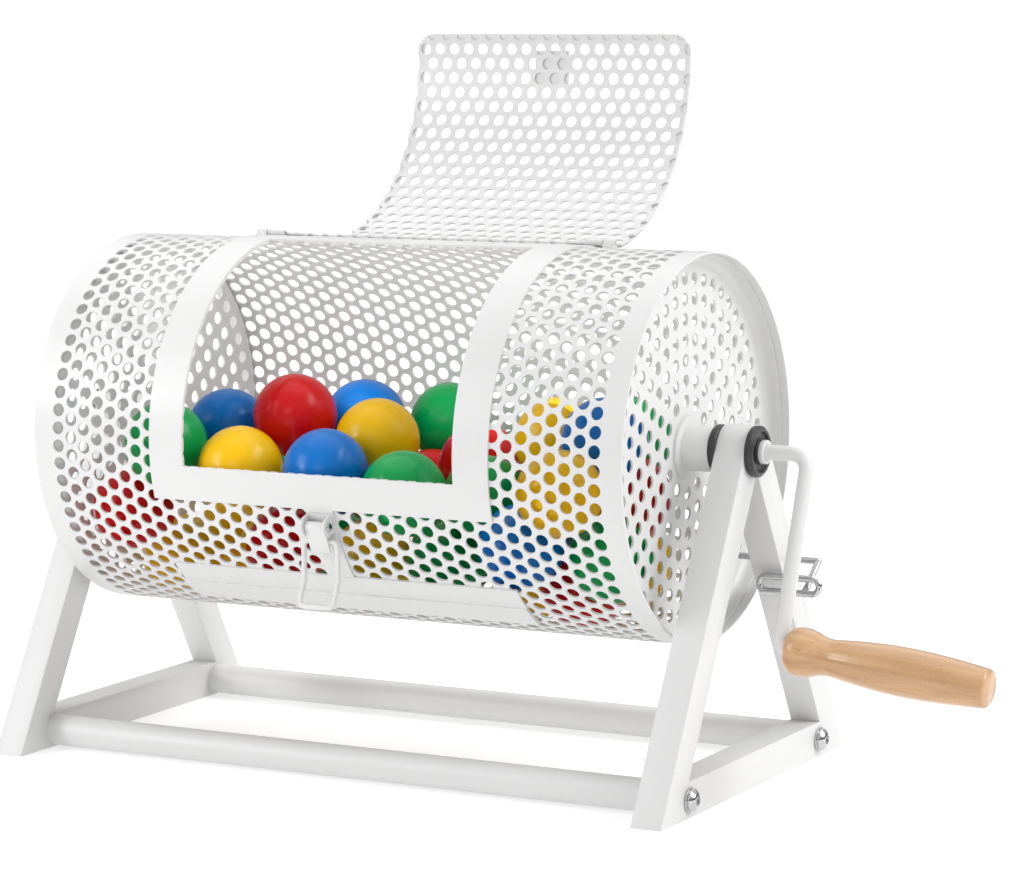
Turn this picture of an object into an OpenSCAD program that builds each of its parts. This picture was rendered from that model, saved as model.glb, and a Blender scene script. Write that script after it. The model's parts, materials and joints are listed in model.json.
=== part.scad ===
// Raffle drum: a perforated drum with a hinged lid turns on a steel stand by a crank.
// X runs along the drum's axis, the lid and latch face -Y, and Z points up.
// The origin is on the floor, under the middle of the drum.

/* [Drum] */
// Outside diameter of the perforated shell
drum_d = 180; // [170:1:200]
// Length of the shell
drum_length = 312; // [290:1:340]
// Thickness of all the sheet metal
sheet_t = 1; // [0.8:0.1:1.2]
// Height of the drum's axis above the floor
axis_height = 155.5; // [145:0.5:180]
// How far an end plate's face lies inside the end of the shell
plate_inset = 11.5; // [9:0.5:14]
// Outer radius of the bend round an end plate
plate_bend_r = 5; // [3:0.5:7]
// Length of an end plate's straight flange
plate_flange = 3.5; // [2:0.5:5]
// Gap between an end plate's flange and the shell
plate_gap = 0.05; // [0.02:0.01:0.1]

/* [Perforation of the end plates] */
// Diameter of a hole
hole_d = 6.2; // [4:0.1:7]
// Distance from one ring of holes to the next
ring_pitch = 9.4; // [8:0.1:11]
// Radius that is added to a ring's number times the pitch
ring_offset = 2.4; // [0:0.1:4]
// Number of the innermost ring, which has six holes for each number
first_ring = 2; // [2:1:4]
// Plain rim that the holes keep clear of the bend
hole_rim = 2; // [1:0.5:4]
// Turn of the pattern toward the front
hole_turn = 1.5; // [0:0.5:3]

/* [Door opening] */
// Width of the opening along the drum
opening_w = 144; // [120:1:160]
// Angle of the opening's upper edge, from straight up toward the front
opening_from = 7; // [0:0.5:20]
// Angle of the opening's lower edge
opening_to = 96.5; // [85:0.5:100]
// Width of the door frame at each side of the opening
frame_side = 18; // [12:0.5:24]
// Angle of the door frame's upper edge
frame_from = -15; // [-20:0.5:-13]
// Angle of the door frame's lower edge
frame_to = 107; // [104:0.5:110]

/* [Seam strip and latch plate] */
// Length of the seam strip under the door
strip_w = 184; // [150:1:220]
// Angle of the strip's upper edge
strip_from = 131.5; // [125:0.5:135]
// Angle of the step across the strip
strip_step = 140; // [137:0.5:143]
// Angle of the strip's lower edge
strip_to = 150; // [146:0.5:160]
// Extra thickness below the step
strip_rise = 0.8; // [0.4:0.1:1.2]
// Width of the plate that carries the latch
latch_plate_w = 14; // [13.5:0.5:20]

/* [Hubs] */
// Diameter of the axle rod
rod_d = 7; // [6:0.5:8]
// Running clearance round the rod
rod_gap = 0.08; // [0.03:0.01:0.1]
// Diameter of a hub collar
collar_d = 21.3; // [18:0.1:24]
// Free length between a collar's end and its end plate
collar_length = 15; // [9:0.5:16]
// Diameter of a hub's flange
hub_flange_d = 29.6; // [27:0.1:34]
// Thickness of a hub's flange
hub_flange_t = 1.6; // [1:0.1:2.5]
// Diameter of a set screw
set_screw_d = 4; // [3:0.5:5]
// Depth of a set screw's outer end in its collar
set_screw_sink = 0.5; // [0.2:0.1:1]
// Clearance of a piece that is fixed on the rod
fixed_gap = 0.02; // [0.01:0.01:0.05]

/* [Bearings] */
// Diameter of the barrels in the A-frame
bush_d = 12; // [10:0.5:13]
// Fit of the bush in the A-frame
bush_fit = 0.05; // [0.02:0.01:0.1]
// Diameter of the inner bush's flange
inner_flange_d = 23; // [20:0.1:26]
// Diameter of the outer bush's flange
outer_flange_d = 23.6; // [20:0.1:26]
// Thickness of the outer bush's flange
outer_flange_t = 3.7; // [2:0.1:5]
// End float between the inner bush and the collar
end_float = 0.3; // [0.2:0.1:0.5]
// Step round the edge of the outer bush's flange
flange_step = 0.8; // [0.4:0.1:1.2]
// Depth of the groove in the outer bush's face
groove_depth = 1.5; // [0.5:0.1:1.6]
// Width of the rim outside the groove
groove_rim = 2.5; // [1.5:0.1:3]
// Gap between the ends of the two bushes in a frame
bush_end_gap = 0.4; // [0.2:0.1:1]
// Diameter of the stop collar on the rod
stop_d = 11; // [10:0.5:14]
// Thickness of the stop collar
stop_t = 2.6; // [2:0.1:4]
// Gap between the outer bush and the stop collar
stop_gap = 0.3; // [0.2:0.1:0.5]
// Axle left past the left stop collar
axle_tail = 1.2; // [0:0.1:3]

/* [Stand] */
// Width of the tubes along the drum
tube_w = 15; // [13:0.5:18]
// Depth of the legs, and height of the cross tubes
tube_h = 16.5; // [14:0.5:18]
// Wall of the tubes
tube_wall = 1.2; // [1:0.1:1.5]
// Distance from the middle of the drum to an A-frame's inner face
frame_x = 163.3; // [160:0.1:175]
// Angle of a leg from straight up
leg_angle = 29.2; // [26:0.1:32]
// Height of the crossing of the legs' centre lines over the axis
apex_rise = 7.3; // [6:0.1:8]
// Radius of the A-frame's top
apex_r = 12; // [11:0.5:12.5]
// Distance from the drum's axis back to the middle of the stand
frame_y = 3; // [0:0.5:4]
// Diameter of the two rails
rail_d = 15; // [12:0.5:15]
// Distance between the centre lines of a rail and a leg, level with the rail
rail_inset = 14.9; // [12:0.1:20]
// Diameter of the rail bolts
bolt_d = 6; // [5:0.5:6]
// Clearance round a bolt
bolt_gap = 0.2; // [0.1:0.1:0.4]
// Depth of the threaded insert in a rail
insert_length = 14; // [10:1:20]
// Fit of an insert in its rail, and of a bolt in its insert
insert_fit = 0.05; // [0.02:0.01:0.1]
// Insert left past a bolt's end
bolt_short = 1; // [0.5:0.5:3]
// Diameter of a washer
washer_d = 11.6; // [11:0.1:14]
// Thickness of a washer
washer_t = 1.2; // [0.8:0.1:1.6]
// Diameter of a bolt's head
head_d = 10.5; // [9.5:0.5:11]
// Height of a bolt's head
head_h = 3.6; // [3:0.1:4.5]
// Height of the straight edge of a bolt's head
head_edge_h = 1; // [0.6:0.1:1.4]
// Width across the corners of the socket in a bolt's head
socket_d = 4.6; // [3:0.1:5]
// Depth of the socket in a bolt's head
socket_depth = 2; // [1:0.1:2.2]

/* [Crank] */
// Distance from the middle of the drum to the crank arm
arm_x = 205.2; // [204:0.1:212]
// Distance from the axis to the corner of the handle's spindle
crank_r = 88.6; // [80:0.1:95]
// Lean of the arm toward the front
crank_lean = 20.6; // [0:0.1:25]
// Radius of the bend between the axle and the arm
upper_bend_r = 8; // [7:0.5:10]
// Radius of the bend between the arm and the spindle
lower_bend_r = 4.5; // [4.4:0.1:6]
// Droop of the spindle
spindle_droop = 5.7; // [0:0.1:8]
// Gap between the end of an axle and the hub's flange
axle_gap = 0.4; // [0.2:0.1:1]

/* [Handle] */
// Length of the wooden handle
handle_length = 96.2; // [80:0.1:105]
// Largest diameter of the grip
handle_d = 22; // [18:0.1:24]
// Diameter of the shoulder next to the crank
shoulder_d = 22; // [18:0.1:24]
// Diameter of the waist behind the shoulder
waist_d = 16.6; // [15:0.1:18]
// Diameter near the end
handle_end_d = 17.8; // [15:0.1:20]
// Wood left past the end of the spindle
handle_cover = 11; // [8:1:20]
// Thickness of the brass bush in the handle
grip_bush_wall = 1; // [0.6:0.1:1.5]
// Length of the brass bush
grip_bush_length = 12; // [8:1:20]
// Thickness of the spindle's shoulder, which the handle turns against
shoulder_t = 0.8; // [0.6:0.1:1.2]
// Gap between the shoulder and the handle
grip_gap = 0.2; // [0.1:0.1:0.5]
// Height of the spindle's shoulder over the rod
shoulder_rise = 0.8; // [0.5:0.1:1.5]
// Clearance of the wood round the spindle and its ring
wood_gap = 0.3; // [0.2:0.1:0.5]
// Distance from the spindle's end back to the middle of its ring
grip_ring_back = 4.5; // [4:0.1:6]
// Thickness of the ring
grip_ring_t = 1.6; // [1:0.1:2]
// Wall of the ring
grip_ring_wall = 1.7; // [1:0.1:2]

/* [Hinges and lid] */
// Angle of the hinge line, from straight up toward the front
hinge_angle = -10.5; // [-11.5:0.1:-9.5]
// Height of the hinge line over the shell
hinge_rise = 2.8; // [2.8:0.1:3.2]
// Diameter of a hinge barrel
barrel_d = 3; // [2.9:0.1:3.2]
// Diameter of a hinge pin
hinge_pin_d = 1.6; // [1.4:0.1:1.7]
// Running clearance round a hinge pin
hinge_pin_gap = 0.05; // [0.02:0.01:0.1]
// Shift of both hinges toward the crank
hinge_shift = 1.8; // [0:0.1:2]
// Length of a lid leaf's knuckle
lid_knuckle = 9.3; // [8:0.1:10]
// Length of a bracket's knuckle
bracket_knuckle = 5.8; // [4:0.1:7]
// Length of a hinge pin outside its knuckles, at each end
pin_tail = 0.3; // [0.1:0.1:0.6]
// Gap between two knuckles
knuckle_gap = 0.4; // [0.3:0.1:0.6]
// Length of the leaf that lies on the lid, in degrees round the drum
leaf_sweep = 7; // [5:0.5:8]
// Width of a hinge's leaf on the lid, before the shift
leaf_on_lid = 5.5; // [4:0.1:8]
// Half of the sweep of the web under a bracket's knuckle, in degrees
web_sweep = 1; // [0.7:0.1:1.2]
// Gap between the leaves and the hem, in degrees
hem_leaf_gap = 1; // [0.5:0.1:2]
// Width of the lid
lid_w = 155; // [150:1:158]
// Gap between the closed lid and the door frame
lid_gap = 0.4; // [0.3:0.1:0.6]
// Angle from the hinge to the lid's rear edge
lid_start = 2; // [1.5:0.1:3]
// Radius of the lid's free corners
lid_corner_r = 9; // [5:0.5:12]
// Width of the hem folded back round the lid
hem_w = 3.2; // [2.5:0.1:5]
// Opening of the lid from closed, in degrees
lid_open_angle = 192; // [170:1:192]
// Width of the catch plate on the lid
catch_w = 19; // [14:0.5:24]
// Distance from the lid's free edge to the catch plate, in degrees
catch_from_edge = 5; // [4:0.5:8]
// Length of the catch plate, in degrees
catch_sweep = 10.5; // [9:0.5:12]
// Height of the catch's hook
hook_h = 4; // [3:0.1:5]
// Distance from the catch plate's upper edge to the hook's web, in degrees
hook_from = 3.2; // [2.5:0.1:4]
// Thickness of the hook's web
hook_t = 1.3; // [1:0.1:1.6]
// Plate left at each side of the hook
hook_side = 4; // [3:0.5:5]
// Distance from a catch rivet's centre to the plate's side
catch_rivet_side = 3.5; // [2.5:0.1:4]
// Distance from a catch rivet's centre to the plate's lower edge, in degrees
catch_rivet_edge = 2.5; // [2:0.1:3]
// Diameter of a catch rivet's head
catch_rivet_d = 3.2; // [2.4:0.1:3.6]
// Height of a catch rivet's head
catch_rivet_h = 0.8; // [0.5:0.1:1]

/* [Latch] */
// Angle of the latch's rivet, from straight up toward the front
rivet_angle = 110.8; // [110:0.1:112]
// Height of the rivet's centre over the shell
rivet_rise = 5.7; // [5.5:0.1:6.5]
// Diameter of the rivet
rivet_d = 2.6; // [2:0.1:3]
// Running clearance of the latch's pivots
latch_gap = 0.05; // [0.02:0.01:0.1]
// Outside width across the two ears
ears_w = 13; // [12:0.5:13]
// Radius of an ear round the rivet
ear_r = 4.6; // [4:0.1:5]
// Sweep of the latch's foot round the drum, in degrees
foot_sweep = 5.8; // [5:0.1:6.5]
// Sweep of an ear's neck, in degrees
neck_sweep = 5.4; // [4.5:0.1:5.8]
// Diameter of the rivet's two heads
rivet_head_d = 4.2; // [3.6:0.1:5]
// Thickness of a rivet head
rivet_head_t = 0.75; // [0.5:0.05:1]
// Gap between the lever and an ear
lever_side_gap = 0.4; // [0.3:0.1:0.6]
// Wall of the lever round the rivet
lever_rivet_wall = 1.1; // [0.8:0.1:1.4]
// Wall of the lever round the bail's pin
lever_bail_wall = 0.7; // [0.5:0.1:0.8]
// Thickness of the lever's plate
lever_t = 1.4; // [1:0.1:1.6]
// Length of the lever's thinner end under the bail's pin
lever_tail = 5; // [3:0.5:7]
// Distance from the rivet to the bail's pivot
bail_offset = 7.8; // [7.2:0.1:9]
// Angle of the line to the bail's pivot, from straight down toward the drum
lever_angle = 26.6; // [20:0.1:30]
// Diameter of the bail's wire
bail_wire_d = 2.5; // [2:0.1:2.8]
// Distance between the centre lines of the bail's arms
bail_w = 18; // [17.5:0.5:22]
// Length of the bail's straight arms
bail_straight = 19; // [14:0.5:24]
// Height of the bail's kinked end
bail_kink_h = 11; // [8:0.5:13]
// Outward offset of the bail's kinked end
bail_kink_out = 5; // [3:0.5:6]
// Radius of the bail's bends
bail_bend_r = 3; // [2:0.5:4]
// Length of the bail's pins in the lever
bail_pin = 3; // [2:0.1:4]

/* [Lock pin] */
// Diameter of the lock pin's wire
lock_wire_d = 3.2; // [2.8:0.1:3.6]
// Clearance round the lock pin in the leg
lock_gap = 0.1; // [0.05:0.01:0.1]
// Number of the ring of holes that the pin enters
lock_ring = 7; // [6:1:8]
// Count of holes from the top of that ring, toward the back, to the pin
lock_hole = 17; // [17:1:17]
// Gap between the withdrawn pin's tip and the end plate
lock_tip_gap = 4; // [2:0.5:5]
// Distance past the leg's outer face to the pin's end
lock_reach = 14.5; // [12:0.5:20]
// Distance of the pin's clip in front of the pin
clip_forward = 12; // [11:0.1:13]
// Distance of the clip's upper arm under the pin
clip_drop = 6.5; // [5:0.5:8]
// Distance between the clip's arms
clip_h = 7; // [6:0.5:9]
// Distance from the leg's inner face to the clip's closed end
clip_start = 5; // [2:0.5:8]
// Distance that the link runs back toward the leg
link_back = 2; // [1:0.5:8]
// Distance that the clip reaches past the pin's end
clip_past = 5.5; // [0:0.1:8]

/* [Balls] */
// Diameter of a ball
ball_d = 40; // [36:0.5:40]
// Least gap between two balls, and between a ball and a wall
ball_gap = 0.3; // [0.3:0.1:1]
// Distance from the middle of the drum to the first ball centre at the crank's far end
heap_start = 121; // [110:1:123]
// Distance from the middle of the drum to the last filled ball centre at the crank's end
heap_end = 66; // [40:1:120]

/* [Hidden] */
$fn = 96;

// Overshoot of a cut past the faces that it opens
over = 1;
// Extra radius of a sphere that joins two bars
elbow_swell = 0.05;

drum_r = drum_d / 2;
inner_r = drum_r - sheet_t;
skin_r = drum_r + sheet_t;
shell_x = drum_length / 2;
plate_x = shell_x - plate_inset;
collar_x = plate_x + collar_length;
rod_r = rod_d / 2;
rod_bore_r = rod_r + rod_gap;
axle_x = plate_x + hub_flange_t + axle_gap;

plate_rim_r = inner_r - plate_gap;
plate_flat_r = plate_rim_r - plate_bend_r;
last_ring = floor((plate_flat_r - hole_rim - hole_d / 2 - ring_offset) / ring_pitch);

outer_x = frame_x + tube_w;
bush_hole_r = bush_d / 2 + bush_fit;
bush_length = (tube_w - bush_end_gap) / 2;
stop_x = outer_x + outer_flange_t + stop_gap;
apex_z = axis_height + apex_rise;
bolt_hole_r = bolt_d / 2 + bolt_gap;
rail_z = tube_h / 2;
rail_y = (apex_z - rail_z) * tan(leg_angle) - rail_inset;

hinge_r = drum_r + hinge_rise;
hinge_y = -hinge_r * sin(hinge_angle);
hinge_z = hinge_r * cos(hinge_angle);
leaf_end = opening_w / 2 + frame_side + hinge_shift;
hinge_x = leaf_end - lid_knuckle;
leaf_x = lid_w / 2 - leaf_on_lid;
bracket_x = leaf_end + knuckle_gap;
bracket_end = bracket_x + bracket_knuckle;
lid_inner_r = skin_r + lid_gap;
lid_outer_r = lid_inner_r + sheet_t;
hem_r = lid_outer_r + sheet_t;
lid_from = hinge_angle + lid_start;
lid_to = frame_to;
hem_sweep = hem_w / lid_outer_r * 180 / PI;
corner_sweep = lid_corner_r / lid_outer_r * 180 / PI;
catch_to = lid_to - catch_from_edge;
catch_from = catch_to - catch_sweep;

rivet_r = drum_r + rivet_rise;
rivet_y = -rivet_r * sin(rivet_angle);
rivet_z = rivet_r * cos(rivet_angle);
bail_y = rivet_y + bail_offset * sin(lever_angle);
bail_z = rivet_z - bail_offset * cos(lever_angle);
ear_x = ears_w / 2;
lever_x = ear_x - sheet_t - lever_side_gap;
bail_r = bail_wire_d / 2;
kink_angle = atan2(bail_kink_out, bail_kink_h);
kink_length = norm([bail_kink_out, bail_kink_h]);

lock_r = lock_wire_d / 2;
lock_angle = hole_turn - lock_hole * 60 / lock_ring;
lock_ring_r = ring_number_r(lock_ring);
lock_y = -lock_ring_r * sin(lock_angle);
lock_z = lock_ring_r * cos(lock_angle);
lock_end = outer_x + lock_reach;
clip_from = frame_x + clip_start;

ball_r = ball_d / 2;

lower_turn = 90 - spindle_droop;
lower_tangent = lower_bend_r * tan(lower_turn / 2);
grip_start = lower_tangent + shoulder_t / 2 + grip_gap;
spindle_end = grip_start + handle_length - handle_cover;

// Distance from the handle's start and radius there
handle_stations = [
    [0, shoulder_d / 2 - 3],
    [2.5, shoulder_d / 2 - 1],
    [7, shoulder_d / 2],
    [11, shoulder_d / 2 - 0.4],
    [19.5, waist_d / 2],
    [0.63 * handle_length, handle_d / 2],
    [handle_length - 1.5, handle_end_d / 2 - 0.2],
    [handle_length, handle_end_d / 2 - 1.5]
];
handle_profile = [
    for (i = [0:len(handle_stations) - 2])
        for (step = [0:handle_steps(i) - 1])
            eased(handle_stations[i], handle_stations[i + 1], step / handle_steps(i))
];

// Balls that show through the door and the holes: colour, then place from the drum's centre
seen_balls = [
    ["red", -48, -29, 8], ["yellow", -55, -67, -13], ["blue", -9, -66, -12], ["yellow", -5, -25, -2],
    ["green", 32, -65, -20], ["blue", -91, -21, -2], ["blue", -33, 11, 2], ["green", -6, 47, -2],
    ["green", -98, -65, -4], ["red", 35, 3, -15], ["red", 0, 18, -31], ["green", 56, -31, -25],
    ["yellow", 82, -9, 1], ["blue", 118, -31, 5], ["yellow", 113, -66, -15], ["green", 123, -35, -49],
    ["red", 96, -10, -67], ["blue", 86, -52, -43], ["green", 31, -22, -58], ["yellow", -11, -21, -60],
    ["red", -57, -23, -57], ["blue", -82, -55, -40], ["red", -122, -57, -37], ["yellow", -122, -16, -66],
    ["red", 116, -2, -25], ["green", 102, 29, -2], ["yellow", 101, 31, -60]
];
ball_colours = ["red", "blue", "yellow", "green"];

// Balls that fill the drum's floor behind them, in rows that follow the shell
row_r = inner_r - ball_r - 2 * ball_gap;
fill_balls = [
    for (radius = [row_r, row_r / 2])
        for (angle = [178:-6:112])
            for (x = [-heap_start:6:heap_end])
                [fill_colour(x, angle), x, radius * sin(angle), radius * cos(angle)]
];
heap = keep(concat(seen_balls, fill_balls));

// Radius of a ring of holes
function ring_number_r(number) = number * ring_pitch + ring_offset;

// Width along Y of half a tube that leans with the legs
function slant(half) = half / cos(leg_angle);

// Count of steps between one station of the handle and the next
function handle_steps(i) = i == 4 || i == 5 ? 10 : 3;

// Point of the handle's outline between two stations, with level ends
function eased(a, b, t) = [a[1] + (b[1] - a[1]) * t * t * (3 - 2 * t), a[0] + (b[0] - a[0]) * t];

// Colour of a ball in the rows, by its place
function fill_colour(x, angle) = ball_colours[(floor(x / 42) + floor(angle / 30) + 40) % 4];

// Lifts what is modelled about the drum's axis to its height
module at_axis() {
    translate([0, 0, axis_height])
        children();
}

// Shows a piece and its mirror image at the other end
module both_ends() {
    children();
    mirror([1, 0, 0])
        children();
}

// Sheet curved about the drum's axis, with angles from straight up toward the front
module arc_sheet(from_r, to_r, from_angle, to_angle, from_x, to_x) {
    rotate([0, 90, 0])
        rotate_extrude(angle = to_angle - from_angle, start = from_angle + 180)
            translate([from_r, from_x])
                square([to_r - from_r, to_x - from_x]);
}

// Full ring about the drum's axis
module ring(from_r, to_r, from_x, to_x) {
    rotate([0, 90, 0])
        rotate_extrude()
            translate([from_r, from_x])
                square([to_r - from_r, to_x - from_x]);
}

// Round bar along X
module bar(radius, from_x, to_x) {
    translate([from_x, 0, 0])
        rotate([0, 90, 0])
            cylinder(r = radius, h = to_x - from_x);
}

// Extrudes a shape drawn in Y and Z along X
module along_x(from_x, to_x) {
    translate([from_x, 0, 0])
        rotate([90, 0, 90])
            linear_extrude(to_x - from_x)
                children();
}

// Frame on the drum's surface, with Z outward and Y up the surface
module on_drum(angle, radius) {
    rotate([angle, 0, 0])
        translate([0, 0, radius])
            children();
}

// Quarter or other part of a bent rod, about Z
module bent_rod(bend_r, radius, from_angle, sweep) {
    rotate_extrude(angle = sweep, start = from_angle)
        translate([bend_r, 0])
            circle(r = radius);
}

// Outline of a bent tube that stands on its two legs
module a_outline(half, top_r, foot_z) {
    rise = half / sin(leg_angle);
    top_z = apex_z + rise - top_r / sin(leg_angle);
    touch_y = top_r * cos(leg_angle);
    touch_z = top_z + top_r * sin(leg_angle);
    foot_y = (apex_z - foot_z) * tan(leg_angle);
    polygon([
        [0, apex_z - rise],
        [foot_y - slant(half), foot_z],
        [foot_y + slant(half), foot_z],
        [touch_y, touch_z],
        [-touch_y, touch_z],
        [-foot_y - slant(half), foot_z],
        [-foot_y + slant(half), foot_z]
    ]);
    translate([0, top_z])
        circle(r = top_r);
}

// Holes for the rail bolts, through the frame at both sides
module bolt_holes() {
    for (y = [-rail_y, rail_y])
        translate([0, frame_y + y, rail_z])
            bar(bolt_hole_r, frame_x - over, outer_x + over);
}

module a_frame() {
    difference() {
        translate([0, frame_y, 0])
            along_x(frame_x, outer_x)
                a_outline(tube_h / 2, apex_r, 0);
        translate([0, frame_y, 0])
            along_x(frame_x + tube_wall, outer_x - tube_wall)
                a_outline(tube_h / 2 - tube_wall, apex_r - tube_wall, -over);
        at_axis()
            bar(bush_hole_r, frame_x - over, outer_x + over);
        bolt_holes();
    }
}

module left_a_frame() {
    color("white")
        mirror([1, 0, 0])
            a_frame();
}

module right_a_frame() {
    color("white")
        difference() {
            a_frame();
            translate([0, lock_y, axis_height + lock_z])
                bar(lock_r + lock_gap, frame_x - over, outer_x + over);
        }
}

// Tube across the feet, with its ends cut to the slope of the legs
module cross_tube() {
    low_y = apex_z * tan(leg_angle) - slant(tube_h / 2);
    high_y = (apex_z - tube_h) * tan(leg_angle) - slant(tube_h / 2);
    difference() {
        translate([0, frame_y, 0])
            along_x(frame_x, outer_x)
                polygon([[-low_y, 0], [low_y, 0], [high_y, tube_h], [-high_y, tube_h]]);
        translate([frame_x + tube_wall, frame_y - low_y - over, tube_wall])
            cube([tube_w - 2 * tube_wall, 2 * (low_y + over), tube_h - 2 * tube_wall]);
        bolt_holes();
    }
}

module left_cross_tube() {
    color("white")
        mirror([1, 0, 0])
            cross_tube();
}

module right_cross_tube() {
    color("white")
        cross_tube();
}

module rail(y) {
    translate([0, frame_y + y, rail_z])
        difference() {
            bar(rail_d / 2, -frame_x, frame_x);
            bar(rail_d / 2 - tube_wall, -frame_x - over, frame_x + over);
        }
}

module front_rail() {
    color("white")
        rail(-rail_y);
}

module rear_rail() {
    color("white")
        rail(rail_y);
}

// Places a piece on each of the four rail bolts' axes
module at_bolts() {
    for (y = [-rail_y, rail_y])
        translate([0, frame_y + y, rail_z])
            both_ends()
                children();
}

module rail_inserts() {
    color("dimgray")
        at_bolts()
            difference() {
                bar(rail_d / 2 - tube_wall - insert_fit, frame_x - insert_length, frame_x);
                bar(bolt_d / 2 + insert_fit, frame_x - insert_length - over, frame_x + over);
            }
}

module washers() {
    color("silver")
        at_bolts()
            difference() {
                bar(washer_d / 2, outer_x, outer_x + washer_t);
                bar(bolt_hole_r, outer_x - over, outer_x + washer_t + over);
            }
}

// Bolt with a domed head and a six-sided socket
module rail_bolts() {
    head_x = outer_x + washer_t;
    color("silver")
        at_bolts()
            difference() {
                union() {
                    bar(bolt_d / 2, frame_x - insert_length + bolt_short, head_x + head_edge_h / 2);
                    translate([head_x, 0, 0])
                        rotate([0, 90, 0])
                            rotate_extrude()
                                head_section();
                }
                translate([head_x + head_h - socket_depth, 0, 0])
                    rotate([0, 90, 0])
                        cylinder(d = socket_d, h = socket_depth + over, $fn = 6);
            }
}

// Half of a domed head's section
module head_section() {
    dome_h = head_h - head_edge_h;
    dome_r = (pow(head_d / 2, 2) + pow(dome_h, 2)) / (2 * dome_h);
    intersection() {
        translate([0, head_h - dome_r])
            circle(r = dome_r);
        square([head_d / 2, head_h]);
    }
}

// Flanged bush whose flange fills the space between hub and A-frame
module inner_bush() {
    at_axis()
        difference() {
            union() {
                bar(inner_flange_d / 2, collar_x + end_float, frame_x);
                bar(bush_d / 2, frame_x, frame_x + bush_length);
            }
            bar(rod_bore_r, collar_x, outer_x);
        }
}

module left_inner_bush() {
    color("black")
        mirror([1, 0, 0])
            inner_bush();
}

module right_inner_bush() {
    color("black")
        inner_bush();
}

// Flanged bush with a groove in its outer face
module outer_bush() {
    face_x = outer_x + outer_flange_t;
    groove_r = stop_d / 2 + flange_step / 2;
    at_axis()
        difference() {
            union() {
                bar(outer_flange_d / 2, outer_x, face_x - flange_step);
                bar(outer_flange_d / 2 - flange_step, outer_x, face_x);
                bar(bush_d / 2, outer_x - bush_length, outer_x);
            }
            bar(rod_bore_r, frame_x, face_x + over);
            ring(groove_r, outer_flange_d / 2 - groove_rim, face_x - groove_depth, face_x + over);
        }
}

module left_outer_bush() {
    color("black")
        mirror([1, 0, 0])
            outer_bush();
}

module right_outer_bush() {
    color("black")
        outer_bush();
}

// Door opening, cut through a sheet between two radii
module opening_cut(from_r, to_r) {
    half_w = opening_w / 2;
    arc_sheet(from_r - over, to_r + over, opening_from, opening_to, -half_w, half_w);
}

module drum_shell() {
    color("white")
        at_axis()
            difference() {
                ring(inner_r, drum_r, -shell_x, shell_x);
                opening_cut(inner_r, drum_r);
            }
}

// Flat plate with rings of holes, turned out into a flange round its rim
module end_plate() {
    at_axis()
        translate([plate_x - sheet_t, 0, 0]) {
            rotate([90, 0, 90])
                linear_extrude(sheet_t)
                    difference() {
                        circle(r = plate_flat_r);
                        for (number = [first_ring:last_ring])
                            for (hole = [0:6 * number - 1])
                                rotate(90 + hole_turn + hole * 60 / number)
                                    translate([ring_number_r(number), 0])
                                        circle(d = hole_d, $fn = 32);
                    }
            rotate([0, 90, 0])
                rotate_extrude()
                    plate_rim();
        }
}

// Section of the bend and flange
module plate_rim() {
    translate([plate_flat_r, plate_bend_r])
        intersection() {
            difference() {
                circle(r = plate_bend_r);
                circle(r = plate_bend_r - sheet_t);
            }
            translate([0, -plate_bend_r])
                square(plate_bend_r);
        }
    translate([plate_rim_r - sheet_t, plate_bend_r])
        square([sheet_t, plate_flange]);
    translate([plate_flat_r - 0.5, 0])
        square([0.5, sheet_t]);
}

module left_end_plate() {
    color("white")
        mirror([1, 0, 0])
            end_plate();
}

module right_end_plate() {
    color("white")
        end_plate();
}

module door_frame() {
    half_w = opening_w / 2 + frame_side;
    color("white")
        at_axis()
            difference() {
                arc_sheet(drum_r, skin_r, frame_from, frame_to, -half_w, half_w);
                opening_cut(drum_r, skin_r);
            }
}

module seam_strip() {
    half_w = strip_w / 2;
    color("white")
        at_axis() {
            arc_sheet(drum_r, skin_r, strip_from, strip_step, -half_w, half_w);
            arc_sheet(drum_r, skin_r + strip_rise, strip_step, strip_to, -half_w, half_w);
        }
}

module latch_plate() {
    color("white")
        at_axis()
            arc_sheet(drum_r, skin_r, frame_to, strip_from, -latch_plate_w / 2, latch_plate_w / 2);
}

module hub() {
    at_axis()
        difference() {
            union() {
                bar(hub_flange_d / 2, plate_x, plate_x + hub_flange_t);
                bar(collar_d / 2, plate_x, collar_x);
            }
            bar(rod_r + fixed_gap, plate_x + hub_flange_t, collar_x + over);
            set_screw_place()
                cylinder(d = set_screw_d, h = collar_d);
        }
}

// Frame of a set screw, which points away from the axis toward the back
module set_screw_place() {
    translate([(plate_x + hub_flange_t + collar_x) / 2, 0, 0])
        rotate([-120, 0, 0])
            children();
}

module left_hub() {
    color("white")
        mirror([1, 0, 0])
            hub();
}

module right_hub() {
    color("white")
        hub();
}

module set_screws() {
    screw_end = collar_d / 2 - set_screw_sink;
    color("dimgray")
        at_axis()
            both_ends()
                set_screw_place()
                    difference() {
                        translate([0, 0, rod_r + fixed_gap])
                            cylinder(r = set_screw_d / 2 - fixed_gap, h = screw_end - rod_r - fixed_gap);
                        translate([0, 0, screw_end - set_screw_d / 2])
                            cylinder(d = set_screw_d / 2, h = set_screw_d, $fn = 6);
                    }
}

module left_axle() {
    color("white")
        at_axis()
            bar(rod_r, -stop_x - stop_t - axle_tail, -axle_x);
}

module stop_collar() {
    at_axis()
        difference() {
            bar(stop_d / 2, stop_x, stop_x + stop_t);
            bar(rod_r + fixed_gap, stop_x - over, stop_x + stop_t + over);
        }
}

module left_stop_collar() {
    color("white")
        mirror([1, 0, 0])
            stop_collar();
}

module right_stop_collar() {
    color("white")
        stop_collar();
}

// Frame with the crank's arm straight down, about the drum's axis
module crank_frame() {
    at_axis()
        rotate([-crank_lean, 0, 0])
            children();
}

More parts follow.
